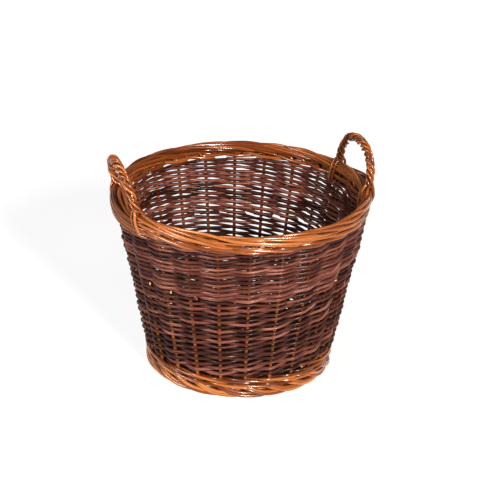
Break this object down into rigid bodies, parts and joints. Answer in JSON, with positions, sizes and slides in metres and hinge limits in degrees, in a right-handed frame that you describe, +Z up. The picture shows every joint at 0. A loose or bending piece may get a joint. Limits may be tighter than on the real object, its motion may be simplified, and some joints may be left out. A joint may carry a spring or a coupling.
{
  "type": "log basket",
  "caption": "Round flared wicker log basket with a woven base and sides, a thick plain border and a roped bow handle on each side.",
  "frame": {"origin": "on the floor, at the middle of the foot", "axes": "+Z up out of the mouth, +X and -X through the two handles"},
  "size_m": [0.5164, 0.51, 0.4629],
  "materials": {
    "willow_buff": "glossy varnished buff willow",
    "willow_brown": "semi-gloss unpeeled brown willow bark"
  },
  "bodies": {
    "root": {"base_tying_round": "willow_buff", "base_weave_01": "willow_buff", "base_weave_02": "willow_buff", "base_weave_03": "willow_buff", "base_weave_04": "willow_buff", "border": "willow_buff", "crossing_base_stick_1": "willow_buff", "crossing_base_stick_2": "willow_buff", "crossing_base_stick_3": "willow_buff", "foot_border": "willow_buff", "left_handle_bow": "willow_buff", "left_handle_roping": "willow_buff", "left_handle_tail_1": "willow_buff", "left_handle_tail_2": "willow_buff", "right_handle_bow": "willow_buff", "right_handle_roping": "willow_buff", "right_handle_tail_1": "willow_buff", "right_handle_tail_2": "willow_buff", "siding_course_01": "willow_brown", "siding_course_02": "willow_brown", "siding_course_03": "willow_brown", "siding_course_04": "willow_brown", "siding_course_05": "willow_brown", "siding_course_06": "willow_brown", "siding_course_07": "willow_brown", "siding_course_08": "willow_brown", "siding_course_09": "willow_brown", "siding_course_10": "willow_brown", "slit_base_stick_1": "willow_buff", "slit_base_stick_2": "willow_buff", "slit_base_stick_3": "willow_buff", "stake_01": "willow_buff", "stake_02": "willow_buff", "stake_03": "willow_buff", "stake_04": "willow_buff", "stake_05": "willow_buff", "stake_06": "willow_buff", "stake_07": "willow_buff", "stake_08": "willow_buff", "stake_09": "willow_buff", "stake_10": "willow_buff", "stake_11": "willow_buff", "stake_12": "willow_buff", "stake_13": "willow_buff", "stake_14": "willow_buff", "stake_15": "willow_buff", "stake_16": "willow_buff", "stake_17": "willow_buff", "stake_18": "willow_buff", "stake_19": "willow_buff", "stake_20": "willow_buff", "stake_21": "willow_buff", "stake_22": "willow_buff", "stake_23": "willow_buff", "stake_24": "willow_buff", "top_wale_01": "willow_buff", "top_wale_02": "willow_buff", "upsett_wale_01": "willow_buff", "upsett_wale_02": "willow_buff", "upsett_wale_03": "willow_buff"}
  },
  "joints": []
}
